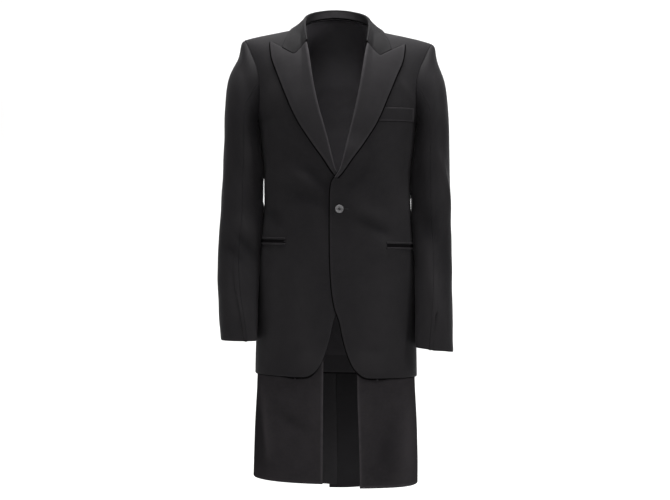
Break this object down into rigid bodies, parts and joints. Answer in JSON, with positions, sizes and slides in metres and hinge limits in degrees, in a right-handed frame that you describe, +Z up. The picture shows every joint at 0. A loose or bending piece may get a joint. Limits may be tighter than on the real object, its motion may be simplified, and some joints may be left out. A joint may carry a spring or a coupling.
{
  "type": "layered long coat",
  "caption": "Single-breasted tailored coat with peaked lapels, cutaway fronts and a longer open skirt layer under its hem, in its worn, hollow form.",
  "frame": {"origin": "the middle between the two sides of the neck, level with the shoulder seams there, where the wearer's shoulders carry the coat", "axes": "+Z up, -Y is the coat's front, +X is the wearer's left; the coat hangs as in the picture, its left side slightly lower"},
  "size_m": [0.5125, 0.2534, 1.0803],
  "materials": {
    "wool": "matt fine wool twill",
    "lining": "soft plain lining with a faint sheen",
    "button": "satin"
  },
  "bodies": {
    "root": {"back_lining": "lining", "button": "button", "chest_welt": "wool", "collar": "wool", "jacket_back_left": "wool", "jacket_back_right": "wool", "jacket_front_left": "wool", "jacket_front_right": "wool", "jet_lower_left": "wool", "jet_lower_right": "wool", "jet_upper_left": "wool", "jet_upper_right": "wool", "lapel_left": "wool", "lapel_right": "wool", "skirt_back_left": "wool", "skirt_back_right": "wool", "skirt_front_left": "wool", "skirt_front_right": "wool", "sleeve_top_left": "wool", "sleeve_top_right": "wool", "sleeve_under_left": "wool", "sleeve_under_right": "wool"}
  },
  "joints": []
}
